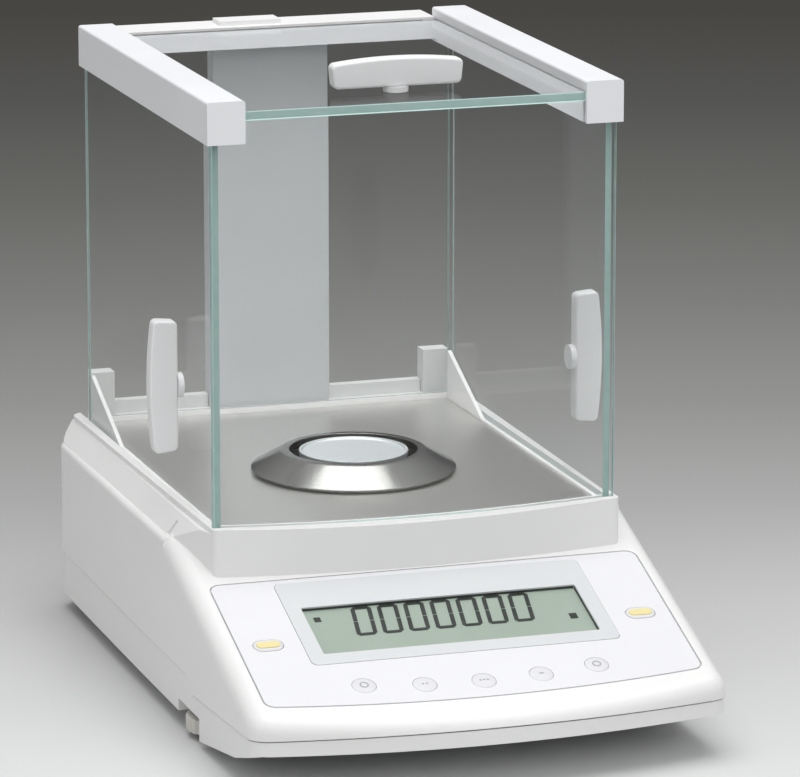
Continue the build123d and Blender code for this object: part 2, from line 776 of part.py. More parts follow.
# Rails, beam and column that carry the top of the chamber
rail = block(rail_inner, rail_half, rail_front, rail_rear, rail_bottom, rail_top)
crest = rail.edges().filter_by(Axis.Y).filter_by(lambda e: e.center().Z > rail_top - 0.01)
rail = fillet(crest, rail_edge_radius)
rail -= block(groove_inner, groove_outer, front_glass_rear, rail_rear + 1, 0, door_groove_top)
rail -= block(0, top_glass_half + slide_clearance, front_glass_y, rail_rear + 1,
              top_glass_bottom - door_seat, top_pane_top + slide_clearance)
rail -= block(0, front_glass_half + fit, front_glass_y - fit / 2, front_glass_rear + fit / 2, 0,
              top_glass_bottom - door_seat)
keep("right_top_rail", rail)
keep("left_top_rail", mirror(rail, about=Plane.YZ))
beam = block(-rail_inner, rail_inner, beam_front, rear_y, beam_bottom, beam_top)
beam += block(-rear_glass_half, rear_glass_half, rail_rear, rear_y, beam_bottom, beam_top)
beam -= block(-reach, reach, rear_glass_y - fit / 2, rear_glass_rear + fit / 2, 0, beam_bottom + beam_lap)
keep("rear_top_beam", beam)
column = block(-column_half, column_half, column_front, rear_y, tray_top, beam_bottom)
front_edges = column.edges().filter_by(Axis.Z).filter_by(lambda e: e.center().Y < column_front + 1)
column = fillet(front_edges, column_radius)
column -= block(-column_half + column_wall, column_half - column_wall, column_front + column_wall,
                rear_y + 1, tray_top - 1, beam_bottom + 1)
keep("rear_column", column)
keep("column_back_cover", block(-column_half + column_wall + fit, column_half - column_wall - fit,
                                rear_y - cover_thickness, rear_y, tray_top, beam_bottom))

# Draught ring and weighing pan, both lifted off for cleaning
ring_top = floor_plate_top + ring_height
ring_half = ring_diameter / 2
hole_half = ring_opening / 2
ring_profile = [(ring_half, floor_plate_top), (ring_half, floor_plate_top + ring_edge),
                (ring_crown + ring_shoulder, ring_top - ring_shoulder / 3), (ring_crown, ring_top),
                (hole_half, ring_top), (hole_half, ring_top - ring_lip),
                (hole_half + ring_sheet, ring_top - ring_lip),
                (hole_half + ring_sheet, ring_top - ring_sheet), (ring_crown - fit, ring_top - ring_sheet),
                (ring_half - ring_sheet, floor_plate_top + ring_edge - ring_sheet / 2),
                (ring_half - ring_sheet, floor_plate_top)]
ring_face = make_face(Polyline([(r, 0, z) for r, z in ring_profile], close=True))
keep("shield_ring", Pos(0, pan_y, 0) * revolve(ring_face, Axis.Z))
pan_low = pan_top - pan_sheet - pan_rim_height
pan = disc(0, pan_y, pan_low, pan_top, pan_diameter)
pan -= disc(0, pan_y, pan_top - pan_rim_height, pan_top + 1, pan_diameter - 2 * pan_rim)
pan += disc(0, pan_y, socket_top, pan_low, pan_hub_diameter)
pan += disc(0, pan_y, stem_bottom, socket_top, pan_stem_diameter)
keep("weighing_pan", pan)
socket = disc(0, pan_y, receiver_top, socket_top, support_diameter)
socket -= disc(0, pan_y, stem_bottom - fit, reach, pan_stem_diameter + 2 * thread_play)
keep("pan_support", socket)

# Display panel
overlay = panel_slab(overlay_face(0), 0.0, overlay_recess)
overlay -= panel_slab(panel_rectangle(frame_half + frame_gap, frame_top - frame_gap, frame_bottom + frame_gap,
                                      frame_radius), key_proud, frame_sheet)
window = panel_slab(panel_rectangle(window_half, window_top, window_bottom, window_radius), key_proud,
                    2 * case_wall)
overlay -= window
for index in range(small_key_count):
    x, y = small_key_spot(index)
    overlay -= panel_slab(Pos(x, y) * Circle(small_key_diameter / 2 + key_gap), key_proud, 2 * case_wall)
for side in (-1, 1):
    overlay -= panel_slab(wide_key_face(side, key_gap), key_proud, 2 * case_wall)
keep("keypad_overlay", overlay)
frame_face = panel_rectangle(frame_half, frame_top, frame_bottom, frame_radius)
keep("display_frame", panel_slab(frame_face, frame_proud, frame_sheet) - window)
lcd_face = panel_rectangle(window_half + lcd_margin, window_top - lcd_margin, window_bottom + lcd_margin,
                           lcd_radius)
keep("lcd_glass", panel_slab(lcd_face, -overlay_recess, lcd_back))
tray_face = panel_rectangle(window_half + lcd_margin - 1, window_top - lcd_margin + 1,
                            window_bottom + lcd_margin - 1, lcd_radius)
keep("lcd_backlight", panel_slab(tray_face, -lcd_back, board_depth))


def digit_zero(left, top):
    """A leaning seven-segment nought: two halves of a ring with a split half way up its uprights."""
    lean = math.tan(math.radians(digit_slant))
    inner = digit_width - digit_stroke
    half = (digit_height - digit_split) / 2
    upper = [(0, 0), (digit_width, 0), (digit_width, -half), (inner, -half), (inner, -digit_stroke),
             (digit_stroke, -digit_stroke), (digit_stroke, -half), (0, -half)]
    lower = [(x, -digit_height - y) for x, y in upper]
    faces = []
    for points in (upper, lower):
        leaning = [(left + x + (y + digit_height) * lean, top + y) for x, y in points]
        faces.append(make_face(Polyline(leaning, close=True)))
    return faces


glyphs = []
for index in range(digit_count):
    glyphs += digit_zero(digit_first + index * digit_pitch, -digit_top)
glyphs.append(Pos(window_half - unit_mark_inset, -unit_mark_down)
              * Rectangle(unit_mark_width, unit_mark_height))
glyphs.append(Pos(stability_mark_inset - window_half, -stability_mark_down)
              * Rectangle(stability_mark_width, stability_mark_height))
segments = [panel_slab(face, digit_sheet - overlay_recess, overlay_recess) for face in glyphs]
keep("lcd_segments", Compound(children=segments))

key_names = ["key_far_left", "key_left", "key_middle", "key_right", "key_far_right"]
for index, name in enumerate(key_names):
    x, y = small_key_spot(index)
    cap = panel_slab(Pos(x, y) * Circle(small_key_diameter / 2), key_proud, key_cap_depth)
    stem = panel_slab(Pos(x, y) * Circle(small_key_diameter / 2 - key_shelf - key_stem_gap), 0, key_depth)
    keep(name, cap + stem)
for side, name in ((-1, "tare_key_left"), (1, "tare_key_right")):
    cap = panel_slab(wide_key_face(side, 0), key_proud, key_cap_depth)
    stem = panel_slab(wide_key_face(side, -key_shelf - key_stem_gap), 0, key_depth)
    keep(name, cap + stem)

board_face = panel_rectangle(board_half, board_top, board_bottom, board_radius)
keep("display_board", panel_slab(board_face, -board_depth, board_depth + board_thickness))
switch_faces = [Pos(*small_key_spot(index)) * Rectangle(switch_size, switch_size)
                for index in range(small_key_count)]
switch_faces += [Pos(side * wide_key_x, -wide_key_down) * Rectangle(switch_size, switch_size)
                 for side in (-1, 1)]
switches = [panel_slab(face, -switch_depth, board_depth) for face in switch_faces]
keep("key_switches", Compound(children=switches))

# Feet: a ribbed wheel and threaded spindle at each front corner, and two plain feet behind
wheel_top = foot_wheel_bottom + foot_wheel_height
for side, name in ((-1, "left"), (1, "right")):
    x = side * foot_x
    wheel = disc(x, foot_y, foot_wheel_bottom, wheel_top, foot_wheel_diameter)
    for index in range(foot_ribs):
        angle = 2 * math.pi * index / foot_ribs
        radius = foot_wheel_diameter / 2 + foot_rib_offset
        wheel -= disc(x + radius * math.cos(angle), foot_y + radius * math.sin(angle), 0, wheel_top + 1,
                      foot_rib_width)
    wheel += disc(x, foot_y, wheel_top, foot_spindle_top, foot_spindle_diameter)
    keep(f"{name}_levelling_foot", wheel)
    keep(f"{name}_foot_pad", disc(x, foot_y, 0, foot_wheel_bottom, foot_pad_diameter))
rear_foot = disc(rear_foot_x, rear_foot_y, 0, base_bottom, rear_foot_diameter)
rear_foot = chamfer(rear_foot.edges().filter_by(lambda e: e.center().Z < 0.01), rear_foot_chamfer)
keep("rear_feet", Compound(children=[rear_foot, mirror(rear_foot, about=Plane.YZ)]))

# Weighing mechanism on the floor of the base, under the pan
cell_frame = block(-cell_half, cell_half, pan_y - cell_front, cell_back, cell_floor, plate_top)
cell_frame += block(-cell_half, cell_half, tower_front, cell_rear, plate_top, cell_top)
cell_frame -= block(-lever_width, lever_width, tower_front - 1, cell_rear + 1, lever_z - lever_height,
                    lever_z + lever_height)
keep("weigh_cell_frame", cell_frame)
cushions = []
for x in (mount_inset - cell_half, cell_half - mount_inset):
    for y in (pan_y - cell_front + mount_inset, cell_back - mount_inset):
        cushions.append(disc(x, y, base_floor_top, cell_floor, mount_diameter))
keep("cell_mounts", Compound(children=cushions))
receiver_y = (pan_y - receiver_depth / 2, pan_y + receiver_depth / 2)
receiver = block(-receiver_half, receiver_half, receiver_y[0], receiver_y[1], receiver_bottom, cell_top)
receiver += disc(0, pan_y, cell_top, receiver_top, stud_diameter)
keep("load_receiver", receiver)
link_slot = block(-link_slot_half, link_slot_half, receiver_y[1] + link_bridge, tower_front - link_bridge, 0,
                  reach)
upper_link = block(-link_half, link_half, receiver_y[0], tower_front + link_lap, cell_top,
                   cell_top + link_thickness)
upper_link -= disc(0, pan_y, 0, reach, stud_diameter + 2 * fit)
lower_link = block(-link_half, link_half, receiver_y[0], tower_front, receiver_bottom - link_thickness,
                   receiver_bottom)
keep("guide_links", Compound(children=[upper_link - link_slot, lower_link - link_slot]))
lever_under = lever_z - lever_height / 2
lever = block(-lever_width / 2, lever_width / 2, receiver_y[1], magnet_y + coil_diameter / 2, lever_under,
              lever_z + lever_height / 2)
keep("transfer_lever", lever)
magnet_top = plate_top + magnet_height
magnet = disc(0, magnet_y, plate_top, magnet_top, magnet_diameter)
magnet -= disc(0, magnet_y, plate_top + magnet_floor, reach, coil_diameter + coil_wall)
magnet += disc(0, magnet_y, plate_top, magnet_top - 1, coil_diameter - 3 * coil_wall)
keep("magnet_pot", magnet)
coil = disc(0, magnet_y, plate_top + coil_lift, lever_under, coil_diameter)
keep("force_coil", coil - disc(0, magnet_y, 0, reach, coil_diameter - 2 * coil_wall))
weight_y = receiver_y[1] + weight_back
weight_z = cell_top - weight_drop


def across(z, y, diameter, x0, x1):
    """A cylinder lying across the balance."""
    return Pos((x0 + x1) / 2, y, z) * Rot(0, 90, 0) * Cylinder(diameter / 2, x1 - x0)


weight = across(weight_z, weight_y, weight_diameter, -lifter_half, lifter_half)
keep("calibration_weight", weight)
arm = block(lifter_half - lifter_arm, lifter_half, weight_y - lifter_width / 2, weight_y + lifter_width / 2,
            plate_top + lifter_lift, weight_z)
keep("weight_lifter", Compound(children=[arm - weight, mirror(arm - weight, about=Plane.YZ)]))
motor_x = cell_half + motor_gap
motor = block(motor_x, motor_x + motor_length, weight_y - motor_width / 2, weight_y + motor_width / 2,
              base_floor_top, plate_top + motor_height)
motor += across(plate_top + motor_shaft_height, weight_y, motor_shaft_diameter, lifter_half + fit, motor_x)
keep("lift_motor", motor)

# Electronics, and the sockets in the back wall
main_board = block(*main_board_x, *main_board_y, main_board_z, main_board_z + board_thickness)
keep("main_board", main_board)
board_face_z = main_board_z + board_thickness
keep("power_module", block(main_board_x[0] + power_inset, main_board_x[1] - power_inset,
                           main_board_y[1] - power_inset - power_length, main_board_y[1] - power_inset,
                           board_face_z, board_face_z + power_height))


def along(x, z, diameter, y0, y1):
    """A cylinder lying from front to back."""
    return Pos(x, (y0 + y1) / 2, z) * Rot(90, 0, 0) * Cylinder(diameter / 2, y1 - y0)


wall_inner = rear_y - case_wall
jack = along(jack_x, socket_z, jack_diameter, rear_y - jack_length, rear_y)
jack += along(jack_x, socket_z, jack_diameter + 2 * jack_flange, wall_inner - flange_thickness, wall_inner)
jack -= along(jack_x, socket_z, jack_bore, rear_y - jack_length / 2, rear_y)
jack += along(jack_x, socket_z, jack_pin, rear_y - jack_length / 2 - 1, rear_y - 1)
keep("power_jack", jack)
port = block(port_x - port_half, port_x + port_half, rear_y - port_length, rear_y - fit,
             socket_z - port_height / 2, socket_z + port_height / 2)
port += block(port_x - port_half - port_flange, port_x + port_half + port_flange,
              wall_inner - flange_thickness, wall_inner, socket_z - port_height / 2 - port_flange / 2,
              socket_z + port_height / 2 + port_flange / 2)
port -= block(port_x - port_half + port_shell, port_x + port_half - port_shell, rear_y - port_depth, rear_y,
              socket_z - port_height / 2 + port_shell, socket_z + port_height / 2 - port_shell)
for count, row in ((5, pin_row), (4, -pin_row)):
    for index in range(count):
        pin_x = port_x + (index - (count - 1) / 2) * pin_pitch
        port += along(pin_x, socket_z + row, pin_diameter, rear_y - port_depth - 1,
                      rear_y - port_depth + pin_length)
keep("data_port", port)


def screw(x, y, head_low, head_up, tip):
    """A screw with a round head between two heights and its tip above or below the head."""
    low, high = sorted(((head_low + head_up) / 2, tip))
    return disc(x, y, head_low, head_up, screw_head_diameter) + disc(x, y, low, high, screw_diameter)


case_screws = []
tray_screws = []
for side in (-1, 1):
    for y in side_screw_y:
        case_screws.append(screw(side * side_screw_x, y, base_bottom, base_bottom + screw_head,
                                 boss_bottom + screw_grip - 1))
    case_screws.append(screw(side * front_screw_x, front_screw_y, front_head_z - screw_head, front_head_z,
                             front_boss_bottom + screw_grip - 1))
    for y in tray_screw_y:
        tray_screws.append(screw(side * tray_screw_x, y, floor_plate_under - screw_head, floor_plate_under,
                                 deck_top - screw_grip + 1))
keep("case_screws", Compound(children=case_screws))
keep("tray_screws", Compound(children=tray_screws))

os.makedirs("parts", exist_ok=True)
for name, shape in parts.items():
    export_step(shape, f"parts/{name}.step")
    print(name, len(shape.solids()), round(shape.volume))
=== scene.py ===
import json
import math

import bmesh
import bpy
from mathutils import Matrix, Vector


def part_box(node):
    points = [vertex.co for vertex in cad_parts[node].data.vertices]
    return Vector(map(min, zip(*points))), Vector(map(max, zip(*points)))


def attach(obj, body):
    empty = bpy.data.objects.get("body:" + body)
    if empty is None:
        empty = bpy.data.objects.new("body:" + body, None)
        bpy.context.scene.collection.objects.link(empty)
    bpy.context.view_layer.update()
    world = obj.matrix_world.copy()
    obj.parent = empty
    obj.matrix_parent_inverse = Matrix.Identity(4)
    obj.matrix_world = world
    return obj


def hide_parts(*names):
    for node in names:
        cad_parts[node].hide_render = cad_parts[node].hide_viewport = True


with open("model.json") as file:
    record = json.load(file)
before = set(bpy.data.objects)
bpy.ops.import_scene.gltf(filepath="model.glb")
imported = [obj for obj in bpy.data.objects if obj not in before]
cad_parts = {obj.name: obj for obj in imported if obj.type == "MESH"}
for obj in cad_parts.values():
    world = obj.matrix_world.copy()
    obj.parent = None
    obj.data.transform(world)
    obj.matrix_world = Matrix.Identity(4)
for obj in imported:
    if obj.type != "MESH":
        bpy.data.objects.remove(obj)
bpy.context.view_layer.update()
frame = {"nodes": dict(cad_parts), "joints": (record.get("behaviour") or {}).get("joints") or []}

# Base and its screws. The base is an injection-moulded ABS tub that carries the mechanism.
# Steel screws come up through it into posts of the upper case, and others, hidden under the
# floor plate, hold the chamber tray.
MM = 0.001


def linear(code):
    """A colour written as sRGB hex, in the linear values that Blender works with."""
    parts = [int(code[i:i + 2], 16) / 255 for i in (1, 3, 5)]
    return [p / 12.92 if p <= 0.04045 else ((p + 0.055) / 1.055) ** 2.4 for p in parts] + [1.0]


def add(tree, kind, inputs=None, **settings):
    """Adds one node with its settings; each input is a value or the output that feeds it."""
    node = tree.nodes.new(kind)
    for name, value in settings.items():
        setattr(node, name, value)
    for name, value in (inputs or {}).items():
        if isinstance(value, bpy.types.NodeSocket):
            tree.links.new(value, node.inputs[name])
        else:
            node.inputs[name].default_value = value
    return node


def blank(name):
    """A new material with only its surface shader and output."""
    material = bpy.data.materials.new(name)
    material.use_nodes = True
    return material, material.node_tree, material.node_tree.nodes["Principled BSDF"]


def dress(material, *names):
    """Gives carried-over CAD nodes their finish."""
    for name in names:
        mesh = frame["nodes"][name].data
        mesh.materials.clear()
        mesh.materials.append(material)


def moulded_plastic(name, light, dark, roughness, grain_mm=0.7, grain_depth_mm=0.02):
    """Injection-moulded plastic: a spark-eroded grain, and tones that drift a little over some 50 mm."""
    material, tree, shader = blank(name)
    place = add(tree, "ShaderNodeTexCoord")
    # Real spark-eroded grain is about 0.1 mm: it is drawn coarser so that it shows at all
    grain = add(tree, "ShaderNodeTexNoise", {"Vector": place.outputs["Object"], "Scale": 1 / (grain_mm * MM),
                                             "Detail": 3.0, "Roughness": 0.6})
    drift = add(tree, "ShaderNodeTexNoise", {"Vector": place.outputs["Object"], "Scale": 1 / (50 * MM),
                                             "Detail": 4.0, "Roughness": 0.55})
    tone = add(tree, "ShaderNodeMix", {"Factor": drift.outputs["Fac"], "A": linear(dark), "B": linear(light)},
               data_type="RGBA")
    tree.links.new(tone.outputs["Result"], shader.inputs["Base Color"])
    gloss = add(tree, "ShaderNodeMapRange", {"Value": drift.outputs["Fac"], "To Min": roughness - 0.05,
                                             "To Max": roughness + 0.06})
    tree.links.new(gloss.outputs["Result"], shader.inputs["Roughness"])
    relief = add(tree, "ShaderNodeBump", {"Height": grain.outputs["Fac"], "Strength": 0.25,
                                          "Distance": grain_depth_mm * MM})
    tree.links.new(relief.outputs["Normal"], shader.inputs["Normal"])
    shader.inputs["IOR"].default_value = 1.53
    return material


# White moulded ABS: a soft satin white with a faint grain, barely warmer in its darker places
white_abs = moulded_plastic("white moulded ABS", "#ECECEC", "#E7E7E6", 0.42)
dress(white_abs, "base_pan")

# Zinc-plated steel: grey, half bright, a little streaky from its plating bath
zinc, tree, shader = blank("zinc-plated steel")
place = add(tree, "ShaderNodeTexCoord")
streak = add(tree, "ShaderNodeTexNoise", {"Vector": place.outputs["Object"], "Scale": 1 / (0.9 * MM),
                                          "Detail": 4.0})
tone = add(tree, "ShaderNodeMix", {"Factor": streak.outputs["Fac"], "A": linear("#9EA0A0"),
                                   "B": linear("#C6C8C9")}, data_type="RGBA")
tree.links.new(tone.outputs["Result"], shader.inputs["Base Color"])
shader.inputs["Metallic"].default_value = 1.0
shader.inputs["Roughness"].default_value = 0.32
relief = add(tree, "ShaderNodeBump", {"Height": streak.outputs["Fac"], "Strength": 0.2,
                                      "Distance": 0.02 * MM})
tree.links.new(relief.outputs["Normal"], shader.inputs["Normal"])
dress(zinc, "case_screws", "tray_screws")

# Feet. At the front a ribbed nylon wheel sits on a threaded steel spindle, which screws
# into the base and stands on a rubber pad. Behind are two plain moulded rubber feet.
WHEEL_RIBS = 24
POINTS_PER_RIB = 8
WHEEL_RADIUS = 15.0 * MM
WHEEL_HEIGHT = 6.5 * MM
WHEEL_EDGE = 0.5 * MM
RIB_DEPTH = 0.7 * MM
GROOVE_POWER = 1.5               # above 1 it narrows the grooves and leaves the ribs broad
SPINDLE_RADIUS = 4.0 * MM
SPINDLE_SINK = 1.0 * MM          # the spindle starts this far down inside the wheel
SPINDLE_POINT = 0.6 * MM
THREAD_DEPTH = 0.45 * MM
THREAD_STEP = 0.5 * MM           # from a crest to the root beside it
THREAD_POINTS = 21
SHARP_ANGLE = math.radians(32)   # edges that bend more are shaded as corners
CORNER_ANGLE = math.radians(20)  # a turned profile bends more than this at its corners
TINY = 1e-6
MERGE = 1e-7


def piece(name, form, finishes, body, stands_for=(), *, weighted=True):
    """Turns a bmesh into a finished piece that rides on a body and may stand for CAD nodes."""
    mesh = bpy.data.meshes.new(name)
    form.to_mesh(mesh)
    form.free()
    mesh.shade_smooth()
    mesh.set_sharp_from_angle(angle=SHARP_ANGLE)
    for finish in finishes:
        mesh.materials.append(finish)
    obj = bpy.data.objects.new(name, mesh)
    bpy.context.scene.collection.objects.link(obj)
    if weighted:
        obj.modifiers.new("even shading", "WEIGHTED_NORMAL").keep_sharp = True
    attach(obj, body)
    if stands_for:
        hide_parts(*stands_for)


def lift(form, faces, height):
    """Extrudes flat faces straight up to a solid, and gives back its upper corners."""
    raised = bmesh.ops.extrude_face_region(form, geom=faces)["geom"]
    top = [part for part in raised if isinstance(part, bmesh.types.BMVert)]
    bmesh.ops.translate(form, verts=top, vec=(0, 0, height))
    return top


def turned(profile, place, steps, closed=False, soften=0.0):
    """A turned solid: a profile of radius and height, spun round an upright axis and set in its place."""
    form = bmesh.new()
    verts = [form.verts.new((r, 0, z)) for r, z in profile]
    edges = [form.edges.new(pair) for pair in zip(verts, verts[1:] + verts[:1] * closed)]
    bmesh.ops.spin(form, geom=verts + edges, cent=(0, 0, 0), axis=(0, 0, 1), angle=2 * math.pi, steps=steps,
                   use_merge=True)
    bmesh.ops.remove_doubles(form, verts=form.verts, dist=MERGE)
    if soften:
        corners = [e for e in form.edges if e.is_manifold and e.calc_face_angle() > CORNER_ANGLE]
        bmesh.ops.bevel(form, geom=corners, offset=soften, segments=3, profile=0.5, affect="EDGES",
                        material=-1)
    bmesh.ops.recalc_face_normals(form, faces=form.faces)
    bmesh.ops.transform(form, matrix=place, verts=form.verts)
    return form


# Grey moulded nylon: warmer and duller than the case, as nylon yellows a little
foot_nylon = moulded_plastic("grey moulded nylon", "#D2D0CA", "#C6C4BE", 0.5)
# Moulded rubber: near black and matte, with hardly a highlight
foot_rubber = moulded_plastic("moulded rubber", "#2B2B2B", "#202020", 0.75, grain_mm=1.0)
foot_rubber.node_tree.nodes["Principled BSDF"].inputs["IOR"].default_value = 1.5
dress(foot_rubber, "left_foot_pad", "right_foot_pad", "rear_feet", "cell_mounts")
for side in ("left", "right"):
    low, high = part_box(f"{side}_levelling_foot")
    middle = (low + high) / 2
    hub = Vector((middle.x, middle.y, low.z))
    wheel_top = low.z + WHEEL_HEIGHT
    form = bmesh.new()
    rim = bmesh.ops.create_circle(form, cap_ends=True, radius=WHEEL_RADIUS,
                                  segments=WHEEL_RIBS * POINTS_PER_RIB,
                                  matrix=Matrix.Translation(hub))["verts"]
    # The upper half of each wave draws the rim in to a groove, and the lower half leaves a rib
    for vert in rim:
        angle = math.atan2(vert.co.y - middle.y, vert.co.x - middle.x)
        dip = max(0.0, math.cos(WHEEL_RIBS * angle)) ** GROOVE_POWER * RIB_DEPTH
        vert.co -= (vert.co - hub).normalized() * dip
    lift(form, form.faces[:], WHEEL_HEIGHT)
    rims = [e for e in form.edges if abs(e.verts[0].co.z - e.verts[1].co.z) < TINY]
    bmesh.ops.bevel(form, geom=rims, offset=WHEEL_EDGE, segments=2, profile=0.5, affect="EDGES", material=-1)
    bmesh.ops.recalc_face_normals(form, faces=form.faces)
    piece(f"{side}_foot_wheel", form, [foot_nylon], f"{side}_foot")
    thread = [(SPINDLE_RADIUS - THREAD_DEPTH * (i % 2), wheel_top + i * THREAD_STEP)
              for i in range(1, THREAD_POINTS + 1)]
    spindle = turned([(0, wheel_top - SPINDLE_SINK), (SPINDLE_RADIUS, wheel_top - SPINDLE_SINK)] + thread
                     + [(SPINDLE_RADIUS - SPINDLE_POINT, high.z), (0, high.z)],
                     Matrix.Translation((middle.x, middle.y, 0)), steps=48)
    piece(f"{side}_foot_spindle", spindle, [zinc], f"{side}_foot", [f"{side}_levelling_foot"])

# Weighing mechanism. A milled aluminium frame stands on soft mounts. Thin spring plates
# guide the load receiver under the pan, and a lever carries its force to the coil, which
# hangs in an iron magnet pot. A brass weight on two arms is there to calibrate it.


def machined_metal(name, light, dark, roughness, pitch_mm, across=(1.0, 0.04, 1.0)):
    """Metal with parallel tool marks: light and dark lines that a cutter or a grinding belt leaves."""
    material, tree, shader = blank(name)
    place = add(tree, "ShaderNodeTexCoord")
    lie = add(tree, "ShaderNodeMapping", {"Vector": place.outputs["Object"], "Scale": across})
    # Real tool marks are 0.05 to 0.2 mm apart: each finish draws them wide enough to show
    marks = add(tree, "ShaderNodeTexNoise", {"Vector": lie.outputs["Vector"], "Scale": 1 / (pitch_mm * MM),
                                             "Detail": 2.0, "Roughness": 0.5})
    tone = add(tree, "ShaderNodeMix", {"Factor": marks.outputs["Fac"], "A": linear(dark), "B": linear(light)},
               data_type="RGBA")
    tree.links.new(tone.outputs["Result"], shader.inputs["Base Color"])
    gloss = add(tree, "ShaderNodeMapRange", {"Value": marks.outputs["Fac"], "To Min": roughness - 0.07,
                                             "To Max": roughness + 0.07})
    tree.links.new(gloss.outputs["Result"], shader.inputs["Roughness"])
    relief = add(tree, "ShaderNodeBump", {"Height": marks.outputs["Fac"], "Strength": 0.25,
                                          "Distance": 0.02 * MM})
    tree.links.new(relief.outputs["Normal"], shader.inputs["Normal"])
    shader.inputs["Metallic"].default_value = 1.0
    return material


# Milled aluminium: pale grey, half matte, lined by the cutter's passes
milled_aluminium = machined_metal("milled aluminium", "#D2D3D5", "#B2B4B7", 0.33, 0.6)
dress(milled_aluminium, "weigh_cell_frame", "load_receiver", "transfer_lever", "pan_support")
# Rolled spring steel: a darker grey with long smooth highlights
spring_steel = machined_metal("rolled spring steel", "#A9A8A6", "#8C8B8A", 0.25, 0.4)
dress(spring_steel, "guide_links")
# Nickel-plated soft iron: grey with the yellowish warmth of nickel
plated_iron = machined_metal("nickel-plated soft iron", "#B6B3AC", "#98958F", 0.28, 0.5)
dress(plated_iron, "magnet_pot", "lift_motor")
# Turned brass: warm yellow, with fine lines round its axis, which lies across the balance
turned_brass = machined_metal("turned brass", "#C9A558", "#A98842", 0.24, 0.35, across=(1.0, 0.05, 0.05))
dress(turned_brass, "calibration_weight")
# Black moulded nylon: not quite black, satin
black_nylon = moulded_plastic("black moulded nylon", "#2A2A2C", "#1E1E20", 0.5)
dress(black_nylon, "weight_lifter", "key_switches", "power_module", "power_jack")

# Enamelled copper winding: fine turns one above the other, with a painted highlight where they crown and
# painted shade between them
WIRE_PITCH = 0.5 * MM
BANDS_PER_UNIT = 20 / (2 * math.pi)      # a wave texture of scale 1 draws this many bands to a metre
winding, tree, shader = blank("enamelled copper winding")
place = add(tree, "ShaderNodeTexCoord")
turns_and_highlights = add(tree, "ShaderNodeTexWave", {"Vector": place.outputs["Object"],
                                        "Scale": 1 / (WIRE_PITCH * BANDS_PER_UNIT),
                                        "Distortion": 0.4, "Detail": 1.0}, bands_direction="Z")
# The colour runs from painted shade between the turns to a painted highlight on their crowns
tone = add(tree, "ShaderNodeMix", {"Factor": turns_and_highlights.outputs["Fac"], "A": linear("#7A3E1E"),
                                   "B": linear("#C97A46")}, data_type="RGBA")
tree.links.new(tone.outputs["Result"], shader.inputs["Base Color"])
shader.inputs["Metallic"].default_value = 1.0
shader.inputs["Roughness"].default_value = 0.3
relief = add(tree, "ShaderNodeBump", {"Height": turns_and_highlights.outputs["Fac"], "Strength": 0.6, "Distance": 0.15 * MM})
tree.links.new(relief.outputs["Normal"], shader.inputs["Normal"])
dress(winding, "force_coil")

# Boards and sockets. Two glass-fibre boards with copper tracks under solder mask: the main
# one lies over the base, the other with the key switches close under the panel. The black
# power jack and the plated data port look out through the back wall.

# Green solder mask: glossy green lacquer, lighter where a copper track lies under it
solder_mask, tree, shader = blank("green solder mask")
place = add(tree, "ShaderNodeTexCoord")
tracks = add(tree, "ShaderNodeTexBrick", {"Vector": place.outputs["Object"], "Scale": 1 / (6 * MM),
                                          "Mortar Size": 0.03, "Mortar Smooth": 0.1,
                                          "Brick Width": 1.3, "Row Height": 0.35,
                                          "Color1": linear("#1F5A36"), "Color2": linear("#236640"),
                                          "Mortar": linear("#3E8A58")})
tree.links.new(tracks.outputs["Color"], shader.inputs["Base Color"])
shader.inputs["Roughness"].default_value = 0.3
shader.inputs["IOR"].default_value = 1.5
relief = add(tree, "ShaderNodeBump", {"Height": tracks.outputs["Fac"], "Strength": 0.4,
                                      "Distance": 0.05 * MM})
tree.links.new(relief.outputs["Normal"], shader.inputs["Normal"])
dress(solder_mask, "main_board", "display_board")
dress(plated_iron, "data_port")

# Upper case. One ABS moulding, open underneath, with bowed front and sides and a rounded
# shoulder round the sloping panel. It drops over the base and is screwed from below.
dress(white_abs, "upper_housing")

# Chamber tray, corner posts and door guides. ABS mouldings: the tray is screwed to the
# case, and the posts and the sloping guides for the doors stand on its rim.
dress(white_abs, "chamber_tray", "right_corner_post", "left_corner_post", "right_door_guide",
      "left_door_guide")

# Display panel. A printed polyester film lies in a recess of the case round a raised ABS
# frame. Behind the frame's window is a reflective liquid-crystal cell with its backlight.

# Printed polyester film: cool white and satin, finer in its grain than the case
panel_film = moulded_plastic("printed polyester film", "#E5E5E8", "#E0E0E4", 0.4, grain_mm=0.5,
                             grain_depth_mm=0.01)
# Satin ABS frame: a shade greyer than the film
frame_plastic = moulded_plastic("satin ABS frame", "#D5D7D9", "#D0D3D5", 0.38)
dress(panel_film, "keypad_overlay")
dress(frame_plastic, "display_frame")

# Liquid-crystal polariser: grey-green and hazy, with the soft shine of a coated film
cell_face, tree, shader = blank("liquid-crystal polariser")
place = add(tree, "ShaderNodeTexCoord")
haze = add(tree, "ShaderNodeTexNoise", {"Vector": place.outputs["Object"], "Scale": 1 / (30 * MM),
                                        "Detail": 3.0})
tone = add(tree, "ShaderNodeMix", {"Factor": haze.outputs["Fac"], "A": linear("#96A598"),
                                   "B": linear("#A1B0A3")}, data_type="RGBA")
tree.links.new(tone.outputs["Result"], shader.inputs["Base Color"])
shader.inputs["Roughness"].default_value = 0.35
shader.inputs["IOR"].default_value = 1.5
shader.inputs["Coat Weight"].default_value = 0.4
shader.inputs["Coat Roughness"].default_value = 0.12
fine = add(tree, "ShaderNodeTexNoise", {"Vector": place.outputs["Object"], "Scale": 1 / (0.5 * MM)})
relief = add(tree, "ShaderNodeBump", {"Height": fine.outputs["Fac"], "Strength": 0.1, "Distance": 0.01 * MM})
tree.links.new(relief.outputs["Normal"], shader.inputs["Normal"])
dress(cell_face, "lcd_glass")
